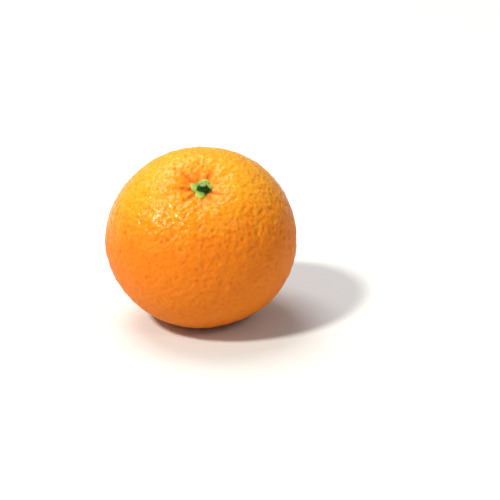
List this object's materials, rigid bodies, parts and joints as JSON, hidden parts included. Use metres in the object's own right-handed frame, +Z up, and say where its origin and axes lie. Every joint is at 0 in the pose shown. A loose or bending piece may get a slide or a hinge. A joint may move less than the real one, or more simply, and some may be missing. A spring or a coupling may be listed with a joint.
{
  "type": "orange",
  "caption": "Whole ripe sweet orange with pitted peel, furrows round its stem end and a green button with a stalk stub, lying on a small flat spot.",
  "frame": {"origin": "on the surface that the fruit lies on, below the middle of its outline", "axes": "+Z up from that surface; the stem axis leans 31 degrees from +Z towards -Y; +X is across the lean, to the right when the button is looked at from the -Y side"},
  "size_m": [0.0804, 0.0772, 0.0717],
  "materials": {
    "peel": "ripe orange citrus peel, waxy satin sheen over fine oil-gland pits, more golden towards the top",
    "sepal": "fresh light green sepals with paler, yellower edges, soft satin",
    "stalk": "dark green bark at the side, pale green-white snapped end"
  },
  "bodies": {
    "root": {"fruit": "peel", "calyx": "sepal", "stem_stub": "stalk"}
  },
  "joints": []
}
